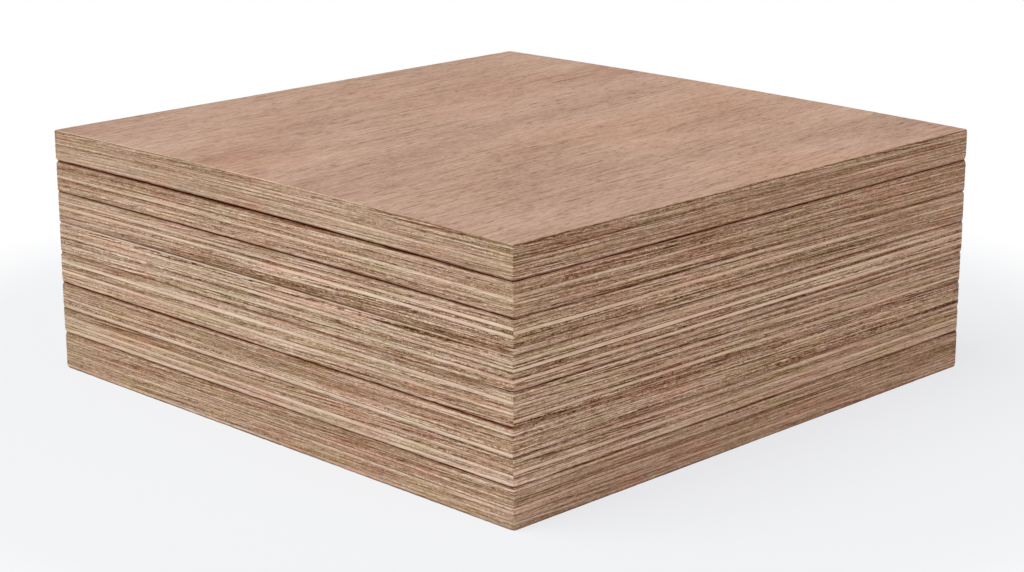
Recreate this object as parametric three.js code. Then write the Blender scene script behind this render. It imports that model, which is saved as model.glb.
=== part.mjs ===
// A stack of eight plywood sheets, cut square and laid flat on one another.
// Millimetres, +Z up. The origin lies on the floor under the middle of the stack.
// The face grain runs along X. Each sheet is one glued board. Its plies show as fine steps
// on the sawn edges, because a ply that is cut across its grain stands back a little.

import * as THREE from 'three';

// Outline of a sheet, seen from above
const sheetLength = 375; // along the face grain, X
const sheetWidth = 375; // across the face grain, Y
const cornerRadius = 0.8; // the upright corners, knocked round

// Edge of a sheet, seen from the side
const arrisRadius = 0.4; // the edges of both faces, eased
const faceVeneer = 0.6; // the thin outer ply on each face
const glueLine = 0.2; // the height in which one ply's cut edge passes to the next
const endGrainSetback = 0.15; // how far a ply cut across its grain stands back

// Each sheet lies on the one beneath it with this clearance
const restGap = 0.3;

// The boards that the stack is made of. Plies are odd in number, so both faces run one way.
const thickBoard = { thickness: 22, plies: 13 };
const thinBoard = { thickness: 15, plies: 9 };
const commonBoard = { thickness: 18, plies: 11 };

// From the floor up. bow is how far the middle of the width stands above its two ends,
// shift and turn (in degrees) are how far the sheet lies out of line.
const layers = [
  { board: thickBoard, bow: 0, shiftX: 0.1, shiftY: -0.1, turn: 0, colour: '#ad8d74' },
  { board: thinBoard, bow: 0.1, shiftX: 0, shiftY: 0.1, turn: 0.02, colour: '#b99377' },
  { board: thinBoard, bow: 0.15, shiftX: -0.2, shiftY: 0, turn: -0.02, colour: '#b38e73' },
  { board: commonBoard, bow: 0.2, shiftX: 0.1, shiftY: 0.2, turn: 0.03, colour: '#b5957b' },
  { board: commonBoard, bow: 0.4, shiftX: -0.1, shiftY: -0.2, turn: -0.03, colour: '#b29379' },
  { board: commonBoard, bow: 0.7, shiftX: 0.2, shiftY: 0.1, turn: 0, colour: '#ae8d73' },
  { board: commonBoard, bow: 0.9, shiftX: 0, shiftY: -0.1, turn: 0.02, colour: '#b08e75' },
  { board: commonBoard, bow: 1.5, shiftX: -0.1, shiftY: 0, turn: -0.01, colour: '#b8967f' },
];

// Fineness of the faceted surface
const bowSteps = 6; // along the width
const cornerSteps = 2; // round an upright corner
const arrisSteps = 2; // round the edge of a face
const finestStep = 0.02; // heights nearer than this are taken as one

// How far every ply's cut edge stands back, at its bottom and its top: from the ends, which
// face X, where the plies that run along X are cut across, and from the sides, which face Y.
function plySteps({ thickness, plies }) {
  const corePly = (thickness - 2 * faceVeneer) / (plies - 2);
  const steps = [];
  for (let ply = 0; ply < plies; ply += 1) {
    const runsAlongX = ply % 2 === 0;
    const end = runsAlongX ? endGrainSetback : 0;
    const side = runsAlongX ? 0 : endGrainSetback;
    const bottom = ply === 0 ? 0 : faceVeneer + (ply - 1) * corePly + glueLine / 2;
    const top = ply === plies - 1 ? thickness : faceVeneer + ply * corePly - glueLine / 2;
    steps.push({ height: bottom, end, side }, { height: top, end, side });
  }
  return steps;
}

// The setback at any height, in a straight line between the plies' steps.
function setbackAt(steps, height) {
  const upper = Math.max(1, steps.findIndex((step) => step.height >= height));
  const from = steps[upper - 1];
  const to = steps[upper];
  const share = (height - from.height) / (to.height - from.height);
  return {
    end: THREE.MathUtils.lerp(from.end, to.end, share),
    side: THREE.MathUtils.lerp(from.side, to.side, share),
  };
}

// How far the rounded edge of a face draws the outline in, at a depth below that face.
function arrisInset(depth) {
  const rise = Math.max(0, arrisRadius - depth);
  return arrisRadius - Math.sqrt(arrisRadius ** 2 - rise ** 2);
}

// The sheet's edge from its underside to its top: each height with the insets there.
function edgeProfile(board) {
  const steps = plySteps(board);
  const heights = steps.map((step) => step.height);
  for (let i = 1; i <= arrisSteps; i += 1) {
    const depth = arrisRadius * (1 - Math.cos((i * Math.PI) / (2 * arrisSteps)));
    heights.push(depth, board.thickness - depth);
  }
  heights.sort((a, b) => a - b);
  const last = heights.length - 1;
  const clear = heights.filter((height, i) => i === last || heights[i + 1] - height > finestStep);
  clear[0] = 0;
  return clear.map((height) => {
    const setback = setbackAt(steps, height);
    const inset = arrisInset(Math.min(height, board.thickness - height));
    return { height, end: inset + setback.end, side: inset + setback.side };
  });
}

// Half of the outline, from the -Y side round the +X end to the +Y side.
function halfOutline(halfLength, halfWidth) {
  const x = halfLength - cornerRadius;
  const y = halfWidth - cornerRadius;
  const points = [];
  for (let i = 0; i < cornerSteps; i += 1) {
    const angle = (i * Math.PI) / (2 * cornerSteps);
    points.push([x + cornerRadius * Math.sin(angle), -y - cornerRadius * Math.cos(angle)]);
  }
  for (let i = 0; i <= bowSteps; i += 1) {
    points.push([halfLength, y * ((2 * i) / bowSteps - 1)]);
  }
  for (let i = 1; i <= cornerSteps; i += 1) {
    const angle = (i * Math.PI) / (2 * cornerSteps);
    points.push([x + cornerRadius * Math.cos(angle), y + cornerRadius * Math.sin(angle)]);
  }
  return points;
}

// A bowed sheet, lofted from one outline at every height of its edge. The left half of each
// outline mirrors the right half, so both faces are closed by straight strips along X.
function sheetGeometry(board, bow) {
  const profile = edgeProfile(board);
  const positions = [];
  profile.forEach(({ height, end, side }) => {
    const right = halfOutline(sheetLength / 2 - end, sheetWidth / 2 - side);
    const left = right.map(([x, y]) => [-x, y]).reverse();
    [...right, ...left].forEach(([x, y]) => {
      positions.push(x, y, height + bow * (1 - (2 * y / sheetWidth) ** 2));
    });
  });

  const ringSize = positions.length / 3 / profile.length;
  const index = [];
  for (let ring = 0; ring < profile.length - 1; ring += 1) {
    for (let i = 0; i < ringSize; i += 1) {
      const lowHere = ring * ringSize + i;
      const lowNext = ring * ringSize + ((i + 1) % ringSize);
      index.push(lowHere, lowNext, lowNext + ringSize);
      index.push(lowHere, lowNext + ringSize, lowHere + ringSize);
    }
  }
  const topRing = (profile.length - 1) * ringSize;
  for (let i = 0; i < ringSize / 2 - 1; i += 1) {
    const across = ringSize - 1 - i;
    index.push(i, across, across - 1, i, across - 1, i + 1);
    index.push(topRing + i, topRing + i + 1, topRing + across - 1);
    index.push(topRing + i, topRing + across - 1, topRing + across);
  }

  const geometry = new THREE.BufferGeometry();
  geometry.setAttribute('position', new THREE.Float32BufferAttribute(positions, 3));
  geometry.setIndex(index);
  geometry.computeVertexNormals();
  return geometry;
}

// One sheet, lying at the given height.
function sheetMesh(name, layer, height) {
  const material = new THREE.MeshStandardMaterial({
    color: layer.colour,
    roughness: 0.75,
    metalness: 0,
    flatShading: true,
  });
  const sheet = new THREE.Mesh(sheetGeometry(layer.board, layer.bow), material);
  sheet.name = name;
  sheet.position.set(layer.shiftX, layer.shiftY, height);
  sheet.rotation.z = THREE.MathUtils.degToRad(layer.turn);
  return sheet;
}

// A sheet that is bowed more than the one beneath it rests on its two ends, and one that is
// bowed less rests on the middle of the one beneath it.
const stack = new THREE.Group();
let floorOfSheet = 0;
layers.forEach((layer, i) => {
  stack.add(sheetMesh(`sheet_${i + 1}`, layer, floorOfSheet));
  const above = layers[i + 1] ?? layer;
  const liftByBow = Math.max(0, layer.bow - above.bow);
  floorOfSheet += layer.board.thickness + restGap + liftByBow;
});

export default stack;
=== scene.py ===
import math

import bpy
import numpy as np
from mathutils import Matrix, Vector


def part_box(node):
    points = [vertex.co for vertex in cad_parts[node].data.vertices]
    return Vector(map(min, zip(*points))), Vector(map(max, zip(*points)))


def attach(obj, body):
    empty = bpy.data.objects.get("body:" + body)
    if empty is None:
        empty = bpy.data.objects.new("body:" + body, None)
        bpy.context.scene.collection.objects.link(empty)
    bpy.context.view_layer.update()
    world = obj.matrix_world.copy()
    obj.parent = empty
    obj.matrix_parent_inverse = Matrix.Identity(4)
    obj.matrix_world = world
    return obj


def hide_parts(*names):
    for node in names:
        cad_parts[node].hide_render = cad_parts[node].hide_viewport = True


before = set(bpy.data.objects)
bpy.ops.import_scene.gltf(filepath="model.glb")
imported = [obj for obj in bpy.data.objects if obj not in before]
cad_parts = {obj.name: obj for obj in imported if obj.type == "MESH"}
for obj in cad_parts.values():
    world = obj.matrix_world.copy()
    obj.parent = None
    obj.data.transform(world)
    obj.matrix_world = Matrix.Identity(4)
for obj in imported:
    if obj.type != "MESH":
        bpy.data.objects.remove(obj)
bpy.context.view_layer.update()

mm = 0.001
quarterTurn = math.pi / 2
print("frame loaded,", len(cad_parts), "sheets")

# Every sheet is cut to one size, and its edges are sawn and left raw. In millimetres.
cut = {
    "length": 375.0,  # along X, the way the face grain runs
    "width": 375.0,  # along Y
    "cornerRadius": 0.8,
    "arrisRadius": 0.4,
    "faceVeneer": 0.6,
    "glueLine": 0.46,
    "columnsPerSide": 180,
    "columnsPerCorner": 6,
    "crowding": 0.45,  # how much closer together the columns stand near the corners
    "rowsPerPly": 3,
    "arrisRows": 4,
    "faceRows": [0, 0.25, 0.5, 0.72, 0.88, 0.96, 0.992],  # shares of the way out from the middle
}

boards = {
    "thick": {"thickness": 22.0, "plies": 13},
    "thin": {"thickness": 15.0, "plies": 9},
    "common": {"thickness": 18.0, "plies": 11},
}

# From the floor up. bow is how far the middle of the width stands above its two ends, and turn
# is in degrees. ends and sides give each ply's tone from the top face down, on the cuts that
# face X and Y: k darkest, d dark, m middle, l light, p pale, and a capital for a ply that the
# saw tore. endTints and sideTints give their tints: r rosy, o ochre, g greenish, v greyish, and
# a dot for none. Each pair is for the ends and the sides: contrast is how strongly the plies
# differ, gap is how open the joint under the sheet is and how deep its painted shade, and pale
# lightens the cut. isTop marks the sheet that nothing lies on, and onFloor the one that lies on
# the floor.
sheets = [
    {"node": "sheet_1", "board": "thick", "bow": 0.0, "turn": 0.0, "contrast": (0.92, 0.88),
     "ends": "ddddmmmlmmmld", "endTints": "ooo.rr...ggrv", "sides": "kMmldmlmmlmmd",
     "sideTints": ".vv...rrrr.vv", "gap": (0.5, 0), "pale": (-0.035, -0.015),
     "onFloor": True},
    {"node": "sheet_2", "board": "thin", "bow": 0.1, "turn": 0.02, "contrast": (0.92, 1.2),
     "ends": "kDdldpmpm", "endTints": "ooo.o.r..", "sides": "kldmpdmlk",
     "sideTints": "r...r.r.o", "gap": (0.6, 0.2), "pale": (0, 0.055)},
    {"node": "sheet_3", "board": "thin", "bow": 0.15, "turn": -0.02, "contrast": (1.0, 1.6),
     "ends": "mMmmdmDpp", "endTints": "rr..g.o..", "sides": "mdMmmmkmd",
     "sideTints": "rrr.o.oro", "gap": (0.1, 0.08), "pale": (0, 0.025)},
    {"node": "sheet_4", "board": "common", "bow": 0.2, "turn": 0.03, "contrast": (1.13, 1.32),
     "ends": "dmmpdmpmdmm", "endTints": "rr..gg.oor.", "sides": "kmdlMmldpdd",
     "sideTints": "..o..g.orvo", "gap": (1, 0.1), "pale": (0.05, 0.03)},
    {"node": "sheet_5", "board": "common", "bow": 0.4, "turn": -0.03, "contrast": (1.45, 1.27),
     "ends": "pDlmldmldmk", "endTints": "..rg..r..ro", "sides": "dmlkpdDpkll",
     "sideTints": "...rrg.r.v.", "gap": (0.05, 0.55), "pale": (0.02, 0.06)},
    {"node": "sheet_6", "board": "common", "bow": 0.7, "turn": 0.0, "contrast": (1.0, 1.13),
     "ends": "mmmpdpDMdkm", "endTints": "rg...r.rr.o", "sides": "dlmmpdmdmld",
     "sideTints": "..g..oo..r.", "gap": (0.3, 0.12), "pale": (0.02, -0.01)},
    {"node": "sheet_7", "board": "common", "bow": 0.9, "turn": 0.02, "contrast": (0.85, 0.88),
     "ends": "kmMmdpdlMmm", "endTints": "rr.oog..rr.", "sides": "lmMMlmMmlmd",
     "sideTints": "r..g.g.rrro", "gap": (1, 0.5), "pale": (-0.035, -0.08)},
    {"node": "sheet_8", "board": "common", "bow": 1.5, "turn": -0.01, "contrast": (0.62, 0.8),
     "ends": "lDdmMmpmlml", "endTints": "r.g.g..g.rr", "sides": "dMlddlmmmmm",
     "sideTints": "o..g.r.vrr.", "gap": (1.2, 1), "pale": (0.015, -0.055),
     "isTop": True},
]
topGap = (0.5, 0.5)  # taken as the joint over the top sheet, so that its rim is worn by half

# The tone of a ply from 0, dark, to 1, pale, and its tint, from -1, greenish, to 1, rosy, and
# from -1, greyish, to 1, ochre.
plyTones = {"k": 0.24, "d": 0.37, "m": 0.51, "l": 0.65, "p": 0.84}
plyTints = {"r": (0.11, 0.02), "o": (0.05, 0.1), "g": (-0.11, 0.02), "v": (0.05, -0.12),
            ".": (0.0, 0.0)}

# What is added to a sheet's seed, so that every noise on it has a pattern of its own, and the
# line through that pattern which a noise that only goes along the edge follows.
patterns = {"tear": 1, "pit": 3, "chip": 4, "crumb": 5, "waver": 6, "drift": 9, "above": 10,
            "patch": 11, "contrast": 12}
lines = {"chip": 3, "crumb": 7, "contrast": 0, "knock": 5, "slope": 9}


# Two whole numbers and a seed give one number between -1 and 1, always the same.
def latticeValue(i, j, seed):
    wave = np.sin(i * 127.1 + j * 311.7 + seed * 74.7) * 43758.5453
    return 2 * (wave - np.floor(wave)) - 1


# From 0 to 1 with a soft start and end: three times the square less twice the cube.
def eased(share):
    return share * share * (3 - 2 * share)


# Smooth noise: the values at the four corners of a cell, eased into each other.
def smoothNoise(u, v, seed):
    i, j = np.floor(u), np.floor(v)
    s, t = eased(u - i), eased(v - j)
    low = latticeValue(i, j, seed) * (1 - s) + latticeValue(i + 1, j, seed) * s
    high = latticeValue(i, j + 1, seed) * (1 - s) + latticeValue(i + 1, j + 1, seed) * s
    return low * (1 - t) + high * t


# Layers of noise on the cut edge. A layer is the length and height of its patches, in
# millimetres, and its amount.
def edgeNoise(grid, layers, seed):
    return sum(amount * smoothNoise(grid["run"] / length, grid["height"] / height, seed + number)
               for number, (length, height, amount) in enumerate(layers))


# The columns go once round the outline. A point on it is core times the half sizes less the
# corner radius, plus normal times that radius. Columns stand closer together near corners.
# run is the way round to a column, with each side's middle at a whole number of lengths.
def outlineColumns():
    share = np.linspace(-1, 1, cut["columnsPerSide"])
    crowding = cut["crowding"]
    along = (1 - crowding) * share + crowding * np.sin(share * quarterTurn)
    angles = np.linspace(0, quarterTurn, cut["columnsPerCorner"] + 2)[1:-1]
    straightHalf = cut["length"] / 2 - cut["cornerRadius"]
    cores, normals, runs = [], [], []
    for side in range(4):  # +X end, +Y side, -X end, -Y side
        turn = side * quarterTurn
        ahead = np.array([-math.sin(turn), math.cos(turn)])
        out = np.array([math.cos(turn), math.sin(turn)])
        straight = out + along[:, None] * ahead
        corner = np.repeat((out + ahead)[None], len(angles), axis=0)
        cores.append(np.vstack([straight, corner]))
        bend = np.stack([np.cos(turn + angles), np.sin(turn + angles)], axis=1)
        normals.append(np.vstack([np.repeat(out[None], len(along), axis=0), bend]))
        bendRun = straightHalf + 2 * cut["cornerRadius"] * angles / quarterTurn
        runs.append(side * cut["length"] + np.concatenate([along * straightHalf, bendRun]))
    return np.vstack(cores), np.vstack(normals), np.concatenate(runs)


# The rows of the cut edge between its two arrises, from the bottom up: the glue line under
# each ply, then the ply's own rows. The face veneers are so thin that they need none.
def plyRows(board):
    plies, half = board["plies"], cut["glueLine"] / 2
    core = (board["thickness"] - 2 * cut["faceVeneer"]) / (plies - 2)
    joints = cut["faceVeneer"] + core * np.arange(plies - 1)
    heights, plyOf, glue = [], [], []
    for ply in range(1, plies - 1):
        inside = np.linspace(joints[ply - 1] + half, joints[ply] - half, cut["rowsPerPly"] + 2)
        heights += [joints[ply - 1], *inside]
        plyOf += [ply] * (len(inside) + 1)
        glue += [1] + [0] * len(inside)
    return np.array([*heights, joints[-1]]), np.array([*plyOf, plies - 1]), np.array([*glue, 1])


# All the rows go from the middle of the underside out to the edge, up the cut edge and in to
# the middle of the top. Each row has its height, its share of the way out from the middle, how
# far the rounded arris draws it in, its ply, and 1 on a glue line. An arris is a quarter circle.
def sheetRows(board):
    heights, plyOf, glue = plyRows(board)
    thickness, radius = board["thickness"], cut["arrisRadius"]
    lift = np.linspace(0, quarterTurn, cut["arrisRows"])
    arrisHeight = radius * (1 - np.sin(lift))
    arrisInset = radius * (1 - np.cos(lift))
    outward = np.array(cut["faceRows"])
    face, arris = len(outward), len(lift)
    rows = {
        "height": [np.zeros(face), arrisHeight[::-1], heights, thickness - arrisHeight,
                   np.full(face, thickness)],
        "out": [outward, np.ones(2 * arris + len(heights)), outward[::-1]],
        "arris": [np.full(face, radius), arrisInset[::-1], np.zeros(len(heights)), arrisInset,
                  np.full(face, radius)],
        "ply": [np.zeros(face + arris), plyOf, np.full(face + arris, board["plies"] - 1)],
        "glue": [np.zeros(face + arris), glue, np.zeros(face + arris)],
    }
    return {name: np.concatenate(parts)[:, None] for name, parts in rows.items()}


# A sheet's grid, rows by columns: a point's way round and height, how far it is from the
# nearer face and from the nearest upright corner, and whether it is on the upper half and on
# an end. crossCut is 1 where the cut runs across the ply's grain. Plies run along X and Y by
# turns, and the square of the normal's X eases one into the other round a corner.
def sheetGrid(board, seed):
    grid = sheetRows(board)
    core, normal, run = outlineColumns()
    sideNumber = np.round(run / cut["length"])
    fromMiddle = run - sideNumber * cut["length"]
    runsAlongX = (grid["ply"] % 2 == 0).astype(float)
    onEnd = normal[:, 0] ** 2
    grid |= {
        "core": core,
        "normal": normal,
        "run": run[None],
        "fromMiddle": fromMiddle,
        "toCorner": (cut["length"] / 2 - np.abs(fromMiddle))[None],
        "corner": np.round(run / cut["length"] + 0.5)[None] % 4,
        "isEnd": sideNumber % 2 == 0,
        "isUpper": grid["height"] > board["thickness"] / 2,
        "fromFace": np.minimum(grid["height"], board["thickness"] - grid["height"]),
        "crossCut": runsAlongX * onEnd + (1 - runsAlongX) * (1 - onEnd),
        "plySeed": seed + plyLook["plyStep"] * grid["ply"],
    }
    return grid


# What the saw and handling did to an edge, in millimetres. Lists of layers are as in edgeNoise.
wear = {
    "setback": 0.13,  # how far a ply cut across its grain stands back
    "tear": [(5.0, 0.7, 1.0), (2.1, 0.45, 0.6)],
    "tearAcross": 0.05,  # depth of torn fibres in a ply cut across its grain
    "tearAlong": 0.03,  # and in one cut along it
    "pit": [(3.3, 0.9, 1.0)],
    "pitLevel": 0.62,  # the level of noise above which a pit starts
    "pitDepth": 0.9,
    "glueDepth": 0.07,
    "chip": (7.0, 0.45),  # length of the chips, and the level of noise above which they start
    "chipDepth": 1.6,
    "chipReach": 0.55,  # how far from a face its arris has crumbled
    "crumbLength": 2.5,
    "crumbDepth": 0.12,
    "shutChip": 0.25,  # share of the chips that is left where a joint is shut
    "shutArris": 0.45,  # share of the arris that is left there
    "deepest": 0.94,  # deepest that anything cuts in, as a share of the corner radius
    "knock": 0.65,  # how far the upright corners are knocked in
    "knockSpread": 0.5,
    "knockReach": (1.6, 1.2),  # along the edge and up it
    "shutKnock": 0.5,  # share of the knocks that is left where a joint is shut
    "topKnock": 0.3,  # and at the rim of the top sheet
    "waver": [(55.0, 3.5, 0.2), (17.0, 2.0, 0.08)],  # how glue lines stray from level
    "drift": [(170.0, 9.0, 0.45)],  # how all the plies of a sheet stray together
    "settle": 1.2,  # the height in which straying plies come level with a face
    "seat": 0.26,  # how far an edge bears down on the sheet beneath it
    "fade": [(75.0, 2, 0.4), (19.0, 4, 0.16)],  # how a joint opens: length, line, amount
}


# How open a joint looks all along, from 0 to 1: a value for the ends and one for the sides,
# which noise along the edge raises and lowers.
def openness(grid, gap, seed):
    fade = sum(amount * smoothNoise(grid["run"] / length, line, seed)
               for length, line, amount in wear["fade"])
    return np.clip(np.where(grid["isEnd"], *gap) * (1 + fade), 0, 1)


# How far the sawn surface lies in from the outline. A ply cut across its grain stands back by
# the setback, with torn fibres and pits, and one cut along it is only a little torn. Glue
# lines are sunk, and chips along both faces fade from them as a bell curve.
def edgeRelief(grid, seed):
    tear = edgeNoise(grid, wear["tear"], seed + patterns["tear"])
    pit = edgeNoise(grid, wear["pit"], seed + patterns["pit"])
    pit = np.clip(pit - wear["pitLevel"], 0, 1) * wear["pitDepth"]
    relief = grid["crossCut"] * (wear["setback"] + wear["tearAcross"] * tear + pit)
    relief += (1 - grid["crossCut"]) * wear["tearAlong"] * (1 + tear)
    relief += wear["glueDepth"] * grid["glue"]

    chipLength, chipLevel = wear["chip"]
    chip = smoothNoise(grid["run"] / chipLength, lines["chip"], seed + patterns["chip"])
    chip = np.clip(chip - chipLevel, 0, 1) * wear["chipDepth"]
    crumb = smoothNoise(grid["run"] / wear["crumbLength"], lines["crumb"],
                        seed + patterns["crumb"])
    chip = chip + wear["crumbDepth"] * (1 + crumb)
    chip = chip * (wear["shutChip"] + (1 - wear["shutChip"]) * grid["openShare"])
    return relief + chip * np.exp(-((grid["fromFace"] / wear["chipReach"]) ** 2))


# How far the upright corners are knocked in, each by a size of its own at the top and at the
# bottom, which fades along the edge and up it as a bell curve.
def cornerKnock(grid, seed):
    chance = latticeValue(grid["corner"], lines["knock"] + grid["isUpper"], seed)
    size = wear["knock"] + wear["knockSpread"] * chance
    worn = wear["shutKnock"] + (1 - wear["shutKnock"]) * grid["openShare"]
    size = size * np.where(grid["isTop"], wear["topKnock"], worn)
    along, up = wear["knockReach"]
    return size * np.exp(-((grid["toCorner"] / along) ** 2) - (grid["fromFace"] / up) ** 2)


# The plan of every point: the outline, drawn in by the arris and the relief, moved in along
# the diagonal where a corner is knocked, all times the row's share of the way out.
def sheetPlan(grid, seed):
    radius = cut["cornerRadius"]
    arris = grid["arris"] * (wear["shutArris"] + (1 - wear["shutArris"]) * grid["openShare"])
    relief = np.where(grid["out"] == 1, np.maximum(edgeRelief(grid, seed), 0), 0)
    inset = np.minimum(arris + relief, wear["deepest"] * radius)
    core = grid["core"] * (np.array([cut["length"], cut["width"]]) / 2 - radius)
    rim = core[None] + grid["normal"][None] * (radius - inset)[..., None]
    diagonal = np.sign(grid["core"]) / math.sqrt(2)
    knock = cornerKnock(grid, seed)[..., None] * diagonal[None]
    return (rim - knock) * grid["out"][..., None]


# The height of every point: plies waver and drift away from the faces, the bow falls off with
# the square of the way out along Y, and where the joint beneath is shut the edge bears down on
# it, most at the underside.
def sheetLift(grid, sheet, plan, openBelow, seed):
    height = grid["height"]
    settled = eased(np.clip((grid["fromFace"] - cut["arrisRadius"]) / wear["settle"], 0, 1))
    waver = edgeNoise(grid, wear["waver"], seed + patterns["waver"])
    waver = waver + edgeNoise(grid, wear["drift"], seed + patterns["drift"])
    bow = sheet["bow"] * (1 - (2 * plan[..., 1] / cut["width"]) ** 2)
    seat = 0 if sheet.get("onFloor") else wear["seat"]
    bear = seat * (1 - openBelow) * (1 - height / boards[sheet["board"]]["thickness"])
    return height + settled * waver + bow - bear


# How the plies look on the cut.
plyLook = {
    "plyStep": 3.7,  # between the patterns of one ply and the next
    "tilt": 0.02,  # slope of the fibres against the plies
    "middle": 0.5,  # the tone from which plies differ
    "presence": 0.8,  # how much of that difference a ply shows
    "patches": {  # along each ply: a pattern's number, length in millimetres, and amount
        "presence": (1.0, 90.0, 0.4),
        "tone": (2.0, 110.0, 0.06),
        "hue": (3.0, 70.0, 0.12),
        "warmth": (4.0, 60.0, 0.1),
        "glue": (5.0, 60.0, 1.5),
    },
    "sheetPatches": [(150.0, 7.0, 0.03)],  # of tone, over several plies, as in edgeNoise
    "contrastPatches": (130.0, 0.2),  # length and amount
    "keenCorner": 2.5,  # the corner, in lengths round, at which the saw cut the keenest plies
    "keen": (0.83, 0.38),  # contrast far from that corner, and how much more it is there
    "grain": (1.64, 1.4),  # strength of the grain in the darkest plies, and its loss in pale ones
    "grainPower": 0.7,  # how the grain follows the contrast
    "tornGrain": 0.3,
    "glue": 0.35,  # how dark the glue lines are
    "rimGlue": 1.0,  # more on the glue line under the top face
    "gapReach": 0.24,  # how far up the edge the painted shade of a joint reaches, in millimetres
    "floorReach": 0.85,  # the same for the painted contact shade above the floor
    "openReach": (0.6, 0.8),  # of that reach, in a shut joint, and how much more in an open one
    # The painted shade is deeper under a joint, where the sheet's upper arris faces up into the
    # light.
    "shade": (0.45, 0.3, 0.55),  # painted shade under a shut joint, over one, and how much more at an open one
    "shadedRim": 0.97,  # the share of the way out where the painted shade of a joint ends on a face
}


# Noise along each ply, by its name.
def plyNoise(grid, name):
    pattern, length, amount = plyLook["patches"][name]
    return amount * smoothNoise(grid["run"] / length, grid["plySeed"], pattern)


# Spells out a sheet's letters on its grid: valueOf gives the value of a letter, first for the
# ends and then for the sides. The letters go down from the top face.
def plyValues(grid, sheet, ways, valueOf):
    plies = grid["ply"].astype(int)
    onEnds, onSides = (
        np.array([valueOf(letter) for letter in sheet[way][::-1]])[plies] for way in ways)
    return np.where(grid["isEnd"][None], onEnds, onSides)


# The contrast of the plies: the sheet's own, changed by noise, and greatest at the keen corner.
def plyContrast(grid, sheet, seed):
    length, amount = plyLook["contrastPatches"]
    noise = smoothNoise(grid["run"] / length, lines["contrast"], seed + patterns["contrast"])
    away = np.abs(grid["run"] - plyLook["keenCorner"] * cut["length"]) / cut["length"]
    dullest, keener = plyLook["keen"]
    nearKeen = dullest + keener * np.clip(1 - away, 0, 1)
    return np.where(grid["isEnd"], *sheet["contrast"]) * (1 + amount * noise) * nearKeen


# The tone of the plies: how far each is from the middle tone, times its presence and contrast.
def plyTone(grid, sheet, contrast, seed):
    look = plyValues(grid, sheet, ("ends", "sides"), lambda letter: plyTones[letter.lower()])
    presence = plyLook["presence"] + plyNoise(grid, "presence")
    patches = plyNoise(grid, "tone")
    patches = patches + edgeNoise(grid, plyLook["sheetPatches"], seed + patterns["patch"])
    pale = np.where(grid["isEnd"], *sheet["pale"])
    middle = plyLook["middle"]
    return middle + (look - middle) * presence * contrast + patches + pale


# Painted shade of a joint and of the floor contact, where shadow falls: a bell curve up and
# down from it, on the edge and on the rim of a face, but not on the top face of the stack.
def paintedJointShade(grid, sheet):
    lowerReach = plyLook["floorReach"] if sheet.get("onFloor") else plyLook["gapReach"]
    shutShare, openMore = plyLook["openReach"]
    reach = np.where(grid["isUpper"], plyLook["gapReach"], lowerReach)
    reach = reach * (shutShare + openMore * grid["openShare"])
    above, below, openShade = plyLook["shade"]
    depth = np.where(grid["isUpper"], above, below) + openShade * grid["openShare"]
    onRim = (grid["out"] > plyLook["shadedRim"]) & ~grid["isTop"]
    return np.exp(-((grid["fromFace"] / reach) ** 2)) * depth * onRim


# How dark each glue line is: patchy, and darkest just under the top face.
def glueShade(grid):
    patches = np.clip(plyNoise(grid, "glue"), 0, 1)
    underRim = grid["isTop"] & (grid["fromFace"] < 2 * cut["faceVeneer"])
    return grid["glue"] * (plyLook["glue"] + patches + plyLook["rimGlue"] * underRim)


# What the material of the cut edge reads at each point. alongPly is the way round, the height
# less the slope of the fibres, and a number for the ply, so that no two plies look alike.
def plyMarks(grid, sheet, seed):
    contrast = plyContrast(grid, sheet, seed)
    tone = plyTone(grid, sheet, contrast, seed)
    isTorn = plyValues(grid, sheet, ("ends", "sides"), str.isupper)
    hue, warmth = (plyValues(grid, sheet, ("endTints", "sideTints"),
                             lambda letter: plyTints[letter][part]) for part in (0, 1))
    strength, loss = plyLook["grain"]
    grain = (strength - loss * tone) * contrast ** plyLook["grainPower"]
    slope = plyLook["tilt"] * np.where(grid["isEnd"], 1, -1)
    slope = slope * (1 + latticeValue(grid["ply"], lines["slope"], seed))
    marks = {
        "plyTone": tone,
        "plyHue": hue + plyNoise(grid, "hue"),
        "plyWarmth": warmth + plyNoise(grid, "warmth"),
        "glueLine": glueShade(grid),
        "crossCut": grid["crossCut"],
        "paintedJointShade": paintedJointShade(grid, sheet),
        "grainShare": grain * (1 + plyLook["tornGrain"] * isTorn),
    }
    marks = {name: np.broadcast_to(values, tone.shape) for name, values in marks.items()}
    marks["alongPly"] = np.stack(np.broadcast_arrays(
        grid["run"], grid["height"] - slope * grid["fromMiddle"], grid["plySeed"]), axis=2)
    return marks


# A closed sheet as one grid of rows by columns, turned and put where its node is. openShare is
# how open the nearer joint is, and isTop marks the upper half of the top sheet.
def sheetSurface(sheet, gapAbove, seed):
    grid = sheetGrid(boards[sheet["board"]], seed)
    openBelow = openness(grid, sheet["gap"], seed)
    openAbove = openness(grid, gapAbove, seed + patterns["above"])
    grid["openShare"] = np.where(grid["isUpper"], openAbove, openBelow)
    grid["isTop"] = grid["isUpper"] & sheet.get("isTop", False)
    plan = sheetPlan(grid, seed)
    lift = sheetLift(grid, sheet, plan, openBelow, seed)

    low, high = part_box(sheet["node"])
    middle = np.array([(low.x + high.x) / 2, (low.y + high.y) / 2]) / mm
    base = high.z / mm - boards[sheet["board"]]["thickness"] - sheet["bow"]
    turn = math.radians(sheet["turn"])
    spin = np.array([[math.cos(turn), math.sin(turn)], [-math.sin(turn), math.cos(turn)]])
    points = np.concatenate([plan @ spin + middle, (lift + base)[..., None]], axis=2)
    return points * mm, plyMarks(grid, sheet, seed), grid


# A grid's values as one row for each vertex. Its first and last rows are one point each.
def flatten(values):
    return np.concatenate([
        values[0, :1], values[1:-1].reshape((-1,) + values.shape[2:]), values[-1, :1]])


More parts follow.
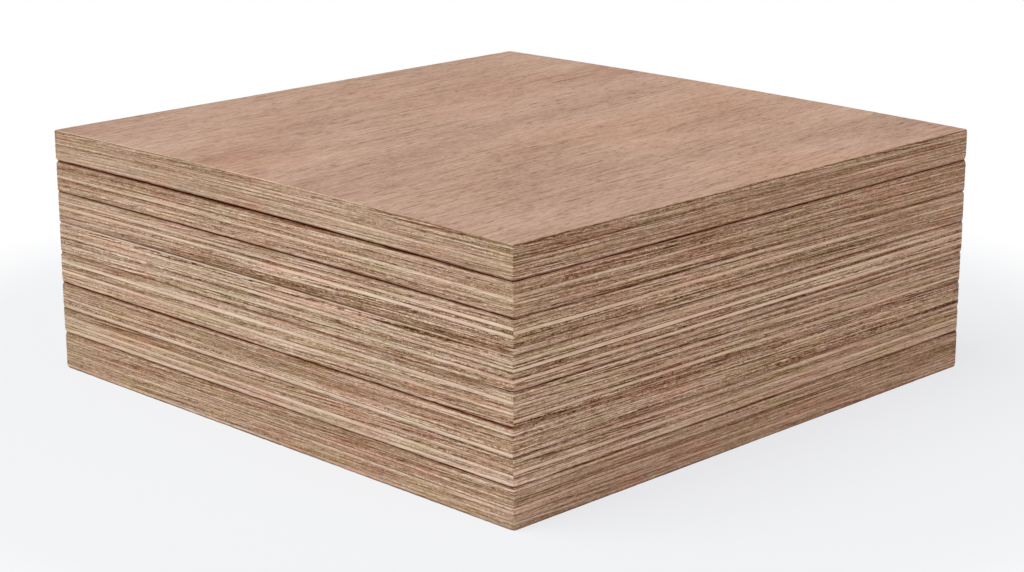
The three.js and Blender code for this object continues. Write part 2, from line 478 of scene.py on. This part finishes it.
# Quads between the rows, closed round the columns, and a fan of triangles in the middle of
# either face. Gives all their corners and how many each has.
def sheetFaces(rowCount, columnCount):
    ring = np.arange(columnCount)
    nextRing = (ring + 1) % columnCount
    base = 1 + np.arange(rowCount - 3)[:, None] * columnCount
    quads = np.stack([
        base + ring, base + nextRing,
        base + columnCount + nextRing, base + columnCount + ring], axis=2).reshape(-1, 4)
    last = 1 + (rowCount - 3) * columnCount
    tip = last + columnCount
    bottomFan = np.stack([nextRing + 1, ring + 1, np.zeros_like(ring)], axis=1)
    topFan = np.stack([last + ring, last + nextRing, np.full_like(ring, tip)], axis=1)
    corners = np.concatenate([quads.ravel(), bottomFan.ravel(), topFan.ravel()])
    return corners, np.repeat([4, 3], [len(quads), 2 * columnCount])


# Which of its two materials each face of a sheet takes: 0 the sawn edge, 1 the face veneer. A
# ring of quads is veneer in from the arris, where no painted joint shade lies on it, and so are
# the fans.
def faceSlots(grid, marks):
    outward, shade = grid["out"][:, 0], marks["paintedJointShade"].max(axis=1)
    isFace = np.minimum(outward[1:-2], outward[2:-1]) < 1
    isFace &= np.maximum(shade[1:-2], shade[2:-1]) == 0
    columnCount = marks["paintedJointShade"].shape[1]
    return np.concatenate([np.repeat(isFace, columnCount), np.ones(2 * columnCount)])


def sheetMesh(name, points, marks, grid, materials):
    vertices = flatten(points)
    corners, sizes = sheetFaces(*points.shape[:2])
    mesh = bpy.data.meshes.new(name)
    mesh.vertices.add(len(vertices))
    mesh.vertices.foreach_set("co", vertices.ravel())
    mesh.loops.add(len(corners))
    mesh.loops.foreach_set("vertex_index", corners)
    mesh.polygons.add(len(sizes))
    mesh.polygons.foreach_set("loop_start", np.cumsum(sizes) - sizes)
    mesh.polygons.foreach_set("use_smooth", np.ones(len(sizes), bool))
    mesh.polygons.foreach_set("material_index", faceSlots(grid, marks).astype(np.int32))
    for markName, values in marks.items():
        kind, field = ("FLOAT_VECTOR", "vector") if values.ndim == 3 else ("FLOAT", "value")
        attribute = mesh.attributes.new(markName, kind, "POINT")
        attribute.data.foreach_set(field, flatten(values).ravel().astype(np.float32))
    for material in materials:
        mesh.materials.append(material)
    mesh.update(calc_edges=True)
    mesh.validate()
    piece = bpy.data.objects.new(name, mesh)
    bpy.context.scene.collection.objects.link(piece)
    return piece


# An sRGB hex colour as linear values.
def linearColour(code):
    values = [int(code[i:i + 2], 16) / 255 for i in (1, 3, 5)]
    linear = [v / 12.92 if v <= 0.04045 else ((v + 0.055) / 1.055) ** 2.4 for v in values]
    return (*linear, 1.0)


# Adds a node with its settings and inputs. An input's key is its place or its name. Its
# value is a plain value, a socket, or a node whose first output is meant. In a Mix of colours
# the colours are inputs 6 and 7 and the result is output 2.
def addNode(tree, kind, settings, inputs):
    node = tree.nodes.new("ShaderNode" + kind)
    for name, value in settings.items():
        setattr(node, name, value)
    for key, value in inputs.items():
        if isinstance(value, bpy.types.Node):
            value = value.outputs[0]
        if isinstance(value, bpy.types.NodeSocket):
            tree.links.new(value, node.inputs[key])
        else:
            node.inputs[key].default_value = value
    return node


def newMaterial(name):
    material = bpy.data.materials.new(name)
    material.use_nodes = True
    material.node_tree.nodes.clear()
    return material, material.node_tree


def setStops(ramp, stops):
    elements = ramp.color_ramp.elements
    while len(elements) < len(stops):
        elements.new(0.5)
    for element, (position, code) in zip(elements, stops):
        element.position = position
        element.color = linearColour(code)


# Noise stretched along the grain. size is in millimetres along and across, and unit is how
# many of the place's own units make a millimetre.
def grainNoise(tree, place, size, detail, unit):
    scale = (unit / size[0], unit / size[1], 1.0)
    at = addNode(tree, "VectorMath", {"operation": "MULTIPLY"}, {0: place, 1: scale})
    return addNode(tree, "TexNoise", {}, {
        "Vector": at, "Scale": 1.0, "Detail": detail, "Roughness": 0.6})


# A tone with layers of grain noise added, each centred on nought.
def layeredTone(tree, place, tone, layers, unit):
    for along, across, detail, amount in layers:
        noise = grainNoise(tree, place, (along, across), detail, unit)
        centred = addNode(tree, "Math", {"operation": "SUBTRACT"}, {0: noise, 1: 0.5})
        tone = addNode(tree, "Math", {"operation": "MULTIPLY_ADD"},
                       {0: centred, 1: amount, 2: tone})
    return tone


# Darkens a tone by the marks' depth where grain noise rises above a level.
def darkMarks(tree, place, tone, marks, unit, clamped):
    noise = grainNoise(tree, place, marks["size"], detail=1.0, unit=unit)
    inside = addNode(tree, "MapRange", {"interpolation_type": "SMOOTHSTEP"}, {
        0: noise, 1: marks["level"], 2: marks["level"] + marks["softness"], 3: 0.0, 4: 1.0})
    return addNode(tree, "Math", {"operation": "MULTIPLY_ADD", "use_clamp": clamped},
                   {0: inside, 1: -marks["depth"], 2: tone})


# Turns a colour towards one tint where amount is above nought and another where it is below.
def tinted(tree, colour, amount, tints):
    for sign, code in zip((1.0, -1.0), tints):
        share = addNode(tree, "Math", {"operation": "MULTIPLY", "use_clamp": True},
                        {0: amount, 1: sign})
        colour = addNode(tree, "Mix", {"data_type": "RGBA", "blend_type": "MULTIPLY"},
                         {0: share, 6: colour, 7: linearColour(code)}).outputs[2]
    return colour


# The shader of a bare wood surface. The same pattern gives it its colour and its bump.
def bareWood(tree, colour, height, look):
    bump = addNode(tree, "Bump", {}, {
        "Strength": 1.0, "Distance": look["bump"], "Height": height})
    shader = addNode(tree, "BsdfPrincipled", {}, {
        "Base Color": colour, "Roughness": look["roughness"], "IOR": look["ior"],
        "Specular IOR Level": look["specular"], "Normal": bump})
    addNode(tree, "OutputMaterial", {}, {0: shader})


# Sawn hardwood ply edge: dull and fibrous, the plies in bands of pale and dark wood, with
# streaks and short dark dashes along them, crumbs where the grain is cut across, faint
# upright saw marks and a dark glue line between plies. Layers are along and across in
# millimetres, detail and amount.
sawnEdge = {
    "toneRange": (-0.6, 1.4),  # the tones at the two ends of the colours below
    "stops": [(0.0, "#2f1b0b"), (0.15, "#4d2f18"), (0.3, "#795739"), (0.4, "#9a775b"),
              (0.55, "#c6a891"), (0.7, "#ead1bc"), (0.8, "#f6dfcb"), (1.0, "#ffecd9")],
    "layers": [
        (140.0, 0.55, 1.0, 1.7),
        (55.0, 2.4, 1.0, 0.22),
        (17.0, 0.55, 3.0, 0.7),
        (3.4, 0.55, 2.0, 1.0),
        (0.9, 7.0, 1.0, 0.3),  # the saw marks
    ],
    "crumbs": (1.2, 0.8),
    "crumbAmount": 0.8,
    "dashes": {"size": (8.0, 0.45), "level": 0.58, "softness": 0.08, "depth": 0.28},
    "patchSpread": 0.05,  # how far a ply's patches of tint differ from the next ply's
    "hueLayers": [(45.0, 20.0, 1.0, 3.2), (5.0, 0.8, 2.0, 0.2)],
    "hueTints": ("#ffedea", "#f5fbea"),
    "warmthLayers": [(34.0, 18.0, 1.0, 1.7), (4.0, 0.8, 2.0, 0.15)],
    "warmthTints": ("#fffae6", "#f6f6fc"),
    "glueColour": "#633c22",
    "glueAmount": 0.5,
    # The colour of the painted shade in the joints and along the floor.
    "paintedShadeColour": "#662604",
    "roughness": 0.95,
    "specular": 0.08,  # torn fibres scatter nearly all of the gloss
    "ior": 1.5,
    "bump": 0.0004,
}


# The grain of the cut edge: streaks, crumbs where the ply is cut across, and dashes.
def edgeGrain(tree, place, crossCut):
    grain = layeredTone(tree, place, 0.0, sawnEdge["layers"], unit=1.0)
    crumbs = grainNoise(tree, place, sawnEdge["crumbs"], detail=1.0, unit=1.0)
    crumbs = addNode(tree, "Math", {"operation": "SUBTRACT"}, {0: crumbs, 1: 0.5})
    crumbs = addNode(tree, "Math", {"operation": "MULTIPLY"}, {0: crumbs, 1: crossCut})
    grain = addNode(tree, "Math", {"operation": "MULTIPLY_ADD"},
                    {0: crumbs, 1: sawnEdge["crumbAmount"], 2: grain})
    return darkMarks(tree, place, grain, sawnEdge["dashes"], unit=1.0, clamped=False)


# The colour of the cut edge: each ply's tone with its grain, then its tint in patches, the
# glue lines, and the painted shade of the joints.
def edgeColour(tree, place, grain, marks):
    tone = addNode(tree, "Math", {"operation": "MULTIPLY_ADD"},
                   {0: grain, 1: marks["grainShare"], 2: marks["plyTone"]})
    darkest, palest = sawnEdge["toneRange"]
    tone = addNode(tree, "MapRange", {}, {0: tone, 1: darkest, 2: palest, 3: 0.0, 4: 1.0})
    ramp = addNode(tree, "ValToRGB", {}, {0: tone})
    setStops(ramp, sawnEdge["stops"])

    patches = addNode(tree, "VectorMath", {"operation": "MULTIPLY"},
                      {0: place, 1: (1.0, 1.0, sawnEdge["patchSpread"])})
    hue = layeredTone(tree, patches, marks["plyHue"], sawnEdge["hueLayers"], unit=1.0)
    warmth = layeredTone(
        tree, patches, marks["plyWarmth"], sawnEdge["warmthLayers"], unit=1.0)
    colour = tinted(tree, ramp, hue, sawnEdge["hueTints"])
    colour = tinted(tree, colour, warmth, sawnEdge["warmthTints"])
    glue = addNode(tree, "Math", {"operation": "MULTIPLY", "use_clamp": True},
                   {0: marks["glueLine"], 1: sawnEdge["glueAmount"]})
    colour = addNode(tree, "Mix", {"data_type": "RGBA"}, {
        0: glue, 6: colour, 7: linearColour(sawnEdge["glueColour"])}).outputs[2]
    # Painted shade where shadow falls in the joints and along the floor.
    return addNode(tree, "Mix", {"data_type": "RGBA"}, {
        0: marks["paintedJointShade"], 6: colour, 7: linearColour(sawnEdge["paintedShadeColour"])}).outputs[2]


def makeSawnEdge():
    material, tree = newMaterial("sawnPlywoodEdge")
    marks = {name: addNode(tree, "Attribute", {"attribute_name": name}, {}).outputs["Fac"]
             for name in ("plyTone", "plyHue", "plyWarmth", "glueLine", "crossCut", "paintedJointShade",
                          "grainShare")}
    place = addNode(tree, "Attribute", {"attribute_name": "alongPly"}, {}).outputs["Vector"]
    grain = edgeGrain(tree, place, marks["crossCut"])
    bareWood(tree, edgeColour(tree, place, grain, marks), grain, sawnEdge)
    return material


# Rotary-cut hardwood face veneer, sanded and bare: a pinkish tan with soft clouds, fine
# streaks along the grain, which runs a little askew, and thin dark pores.
faceVeneer = {
    "tone": 0.53,
    "stops": [(0.0, "#8f6d5c"), (0.5, "#c0a08d"), (1.0, "#ddc4b2")],
    "grainAngle": 4.0,  # degrees from the sheet's length
    "layers": [  # along and across in millimetres, detail, amount
        (150.0, 45.0, 1.0, 0.6),
        (50.0, 4.0, 2.0, 0.45),
        (15.0, 1.4, 3.0, 0.85),
        (3.6, 1.1, 2.0, 0.75),
    ],
    "pores": [  # size is along and across in millimetres
        {"size": (24.0, 0.8), "level": 0.6, "softness": 0.07, "depth": 0.22},
        {"size": (11.0, 1.9), "level": 0.64, "softness": 0.06, "depth": 0.34},
        {"size": (95.0, 1.1), "level": 0.66, "softness": 0.05, "depth": 0.4},
    ],
    "hue": 0.25,
    "hueLayers": [(190.0, 90.0, 1.0, 2.2), (30.0, 5.0, 2.0, 0.9)],
    "hueTints": ("#fff1f1", "#f8fbf0"),
    "warmthLayers": [(200.0, 100.0, 1.0, 1.8), (25.0, 5.0, 2.0, 0.7)],
    "warmthTints": ("#fffcee", "#f8f6fc"),
    "roughness": 0.75,
    "specular": 0.3,
    "ior": 1.5,
    "bump": 0.0002,
}


def makeFaceVeneer():
    material, tree = newMaterial("rotaryCutFaceVeneer")
    place = addNode(tree, "TexCoord", {}, {}).outputs["Object"]
    place = addNode(tree, "Mapping", {}, {
        "Vector": place, "Rotation": (0, 0, math.radians(-faceVeneer["grainAngle"]))})
    unit = 1 / mm

    tone = layeredTone(tree, place, faceVeneer["tone"], faceVeneer["layers"], unit)
    for pores in faceVeneer["pores"]:
        tone = darkMarks(tree, place, tone, pores, unit, clamped=True)
    ramp = addNode(tree, "ValToRGB", {}, {0: tone})
    setStops(ramp, faceVeneer["stops"])
    hue = layeredTone(tree, place, faceVeneer["hue"], faceVeneer["hueLayers"], unit)
    warmth = layeredTone(tree, place, 0.0, faceVeneer["warmthLayers"], unit)
    colour = tinted(tree, ramp, hue, faceVeneer["hueTints"])
    colour = tinted(tree, colour, warmth, faceVeneer["warmthTints"])
    bareWood(tree, colour, tone, faceVeneer)
    return material


materials = [makeSawnEdge(), makeFaceVeneer()]
print("materials made")

# The seed of the noise on the bottom sheet, and the step to each next one.
firstSeed, seedStep = 3.0, 10.0
gapsAbove = [sheet["gap"] for sheet in sheets[1:]] + [topGap]
for number, (sheet, gapAbove) in enumerate(zip(sheets, gapsAbove)):
    points, marks, grid = sheetSurface(sheet, gapAbove, firstSeed + seedStep * number)
    piece = sheetMesh("plywood_" + sheet["node"], points, marks, grid, materials)
    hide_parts(sheet["node"])
    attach(piece, "root")
    print("sheet made:", piece.name, len(piece.data.polygons), "faces")

# A pale studio floor that fades to white with distance. In metres.
floorLook = {
    "halfSize": 4.0,
    "colour": "#f2f4f7",
    "lift": 0.8,  # share of the seen floor that glows, so that shadows stay faint
    "fadeStart": 0.34,
    "fadeEnd": 0.48,
}


# Matt paint for all but what the camera sees, which is lifted and fades to white.
def makeFloorPaint():
    material, tree = newMaterial("paintedStudioFloor")
    colour = linearColour(floorLook["colour"])
    place = addNode(tree, "TexCoord", {}, {}).outputs["Object"]
    away = addNode(tree, "VectorMath", {"operation": "LENGTH"}, {0: place}).outputs["Value"]
    fade = addNode(tree, "MapRange", {"interpolation_type": "SMOOTHSTEP"}, {
        0: away, 1: floorLook["fadeStart"], 2: floorLook["fadeEnd"], 3: 0.0, 4: 1.0})
    path = addNode(tree, "LightPath", {}, {})
    seen = path.outputs["Is Camera Ray"]
    for ray in ("Is Glossy Ray", "Is Transmission Ray"):
        seen = addNode(tree, "Math", {"operation": "ADD", "use_clamp": True},
                       {0: seen, 1: path.outputs[ray]})
    paint = addNode(tree, "BsdfDiffuse", {}, {0: colour})
    glow = addNode(tree, "Emission", {}, {0: colour})
    white = addNode(tree, "Emission", {}, {0: (1, 1, 1, 1)})
    near = addNode(tree, "MixShader", {}, {0: floorLook["lift"], 1: paint, 2: glow})
    both = addNode(tree, "MixShader", {}, {0: fade, 1: near, 2: white})
    final = addNode(tree, "MixShader", {}, {0: seen, 1: paint, 2: both})
    addNode(tree, "OutputMaterial", {}, {0: final})
    return material


def makeFloor():
    mesh = bpy.data.meshes.new("studioFloor")
    far = floorLook["halfSize"]
    corners = [(-far, -far, 0), (far, -far, 0), (far, far, 0), (-far, far, 0)]
    mesh.from_pydata(corners, [], [(0, 1, 2, 3)])
    mesh.materials.append(makeFloorPaint())
    floor = bpy.data.objects.new("studioFloor", mesh)
    bpy.context.scene.collection.objects.link(floor)
    return floor


makeFloor()
print("floor made")

# Soft daylight all round, a large cool lamp up on the left and a weak warm one on the right.
# A lamp's level is the share of full brightness that it gives a surface that faces it.
light = {
    "world": "#fffbf6",
    "worldStrength": 0.38,
    "lamps": [
        {"name": "keyLamp", "place": (-3.0, 1.4, 5.2), "size": 5.0, "level": 0.80,
         "colour": "#fffdf9"},
        {"name": "fillLamp", "place": (0.8, -4.2, 1.4), "size": 2.0, "level": 0.16,
         "colour": "#ffd9ca"},
    ],
}


# A square lamp that faces the origin. Its energy is the level times pi squared times the
# square of its distance.
def makeLamp(name, place, size, level, colour):
    lamp = bpy.data.lights.new(name, "AREA")
    lamp.shape = "SQUARE"
    lamp.size = size
    lamp.energy = level * math.pi ** 2 * Vector(place).length_squared
    lamp.color = linearColour(colour)[:3]
    holder = bpy.data.objects.new(name, lamp)
    holder.location = place
    holder.rotation_euler = (-Vector(place)).to_track_quat("-Z", "Y").to_euler()
    bpy.context.scene.collection.objects.link(holder)


# The world lights the object as daylight, and the camera sees it white.
def makeWorld():
    world = bpy.data.worlds.new("studioDaylight")
    bpy.context.scene.world = world
    world.use_nodes = True
    tree = world.node_tree
    tree.nodes.clear()
    path = addNode(tree, "LightPath", {}, {})
    daylight = addNode(tree, "Background", {}, {
        "Color": linearColour(light["world"]), "Strength": light["worldStrength"]})
    white = addNode(tree, "Background", {}, {"Color": (1, 1, 1, 1), "Strength": 1.0})
    mix = addNode(tree, "MixShader", {}, {
        0: path.outputs["Is Camera Ray"], 1: daylight, 2: white})
    addNode(tree, "OutputWorld", {}, {0: mix})


makeWorld()
for lamp in light["lamps"]:
    makeLamp(**lamp)
print("lights made")

# The camera stands off the corner between the -X end and the -Y side.
view = {
    "place": (-0.93667, -0.93024, 0.41961),
    "heading": -45.215,  # degrees, 0 looks along +Y
    "down": 15.648,
    "lens": 81.55,
    "sensor": 36.0,
    "clip": (0.05, 20.0),
}


def makeCamera():
    data = bpy.data.cameras.new("viewCamera")
    data.lens = view["lens"]
    data.sensor_width = view["sensor"]
    data.clip_start, data.clip_end = view["clip"]
    camera = bpy.data.objects.new("viewCamera", data)
    heading, down = math.radians(view["heading"]), math.radians(view["down"])
    back = Vector((math.sin(heading) * math.cos(down), -math.cos(heading) * math.cos(down),
                   math.sin(down)))
    camera.location = view["place"]
    camera.rotation_euler = (-back).to_track_quat("-Z", "Y").to_euler()
    bpy.context.scene.collection.objects.link(camera)
    bpy.context.scene.camera = camera


makeCamera()
print("camera placed")

bpy.context.scene.view_settings.view_transform = "Standard"
